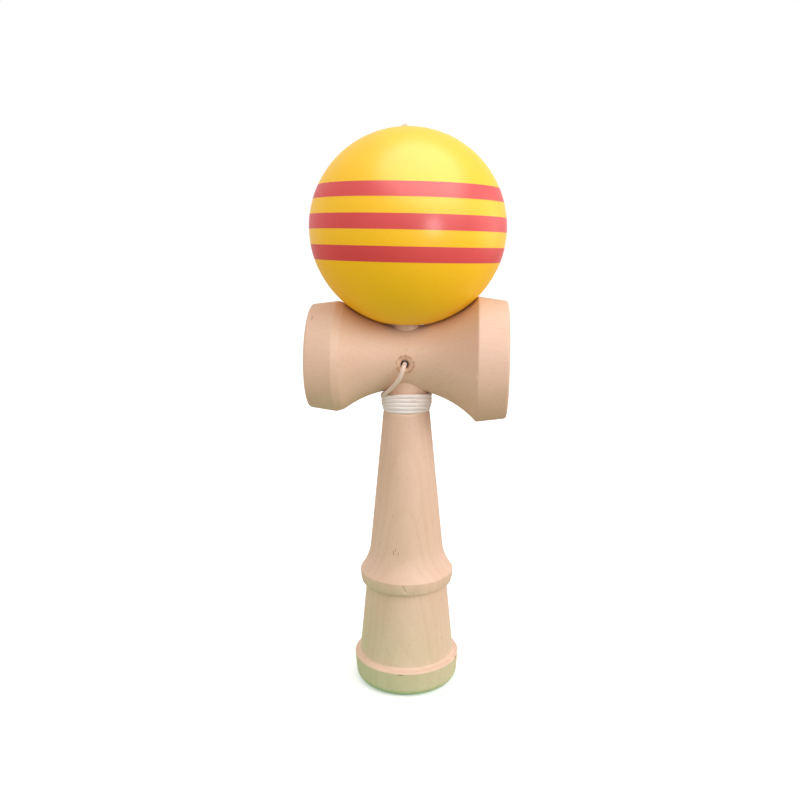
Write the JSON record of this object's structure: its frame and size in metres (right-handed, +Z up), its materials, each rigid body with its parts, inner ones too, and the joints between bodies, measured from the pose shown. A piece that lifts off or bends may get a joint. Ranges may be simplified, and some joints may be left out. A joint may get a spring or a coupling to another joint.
{
  "type": "kendama",
  "caption": "Wooden skill toy: turned handle with spike and base cup, double-cup cross-piece, striped ball bored to sit on the spike, tied on by a thin cord wound round the neck.",
  "frame": {"origin": "on the handle's axis, at the plane of the rim that the handle stands on", "axes": "+Z up the handle to the spike, +X along the cross-piece to its big cup, -Y the front, where the cord leaves the cross-piece"},
  "size_m": [0.0612, 0.0617, 0.1754],
  "materials": {
    "handle_wood": "bare sanded beech",
    "cross_piece_wood": "bare sanded beech",
    "ball_paint": "satin gloss yellow paint on wood",
    "stripe_paint": "satin gloss red paint on wood",
    "bead_wood": "bare wood",
    "cord": "off-white braided polyester cord"
  },
  "bodies": {
    "ken": {"handle": "handle_wood", "cross_piece": "cross_piece_wood", "handle_knot": "cord", "string_lead": "cord", "string_winding": "cord", "string_rise": "cord"},
    "cord_end": {"string_over_ball": "cord", "string_through_ball": "cord", "bead": "bead_wood", "ball_knot": "cord"},
    "tama": {"ball": "ball_paint", "stripe_upper": "stripe_paint", "stripe_middle": "stripe_paint", "stripe_lower": "stripe_paint"}
  },
  "joints": [
    {"name": "tama_lift", "type": "slide", "parent": "ken", "child": "cord_end", "axis": [0, 0, 1], "range_m": [0, 0.04], "deforming": ["string_rise"]},
    {"name": "tama_spin", "type": "hinge", "parent": "cord_end", "child": "tama", "pos_m": [0.0004, 0, 0.1439], "axis": [0.0209, 0, 0.9998], "continuous": true}
  ]
}
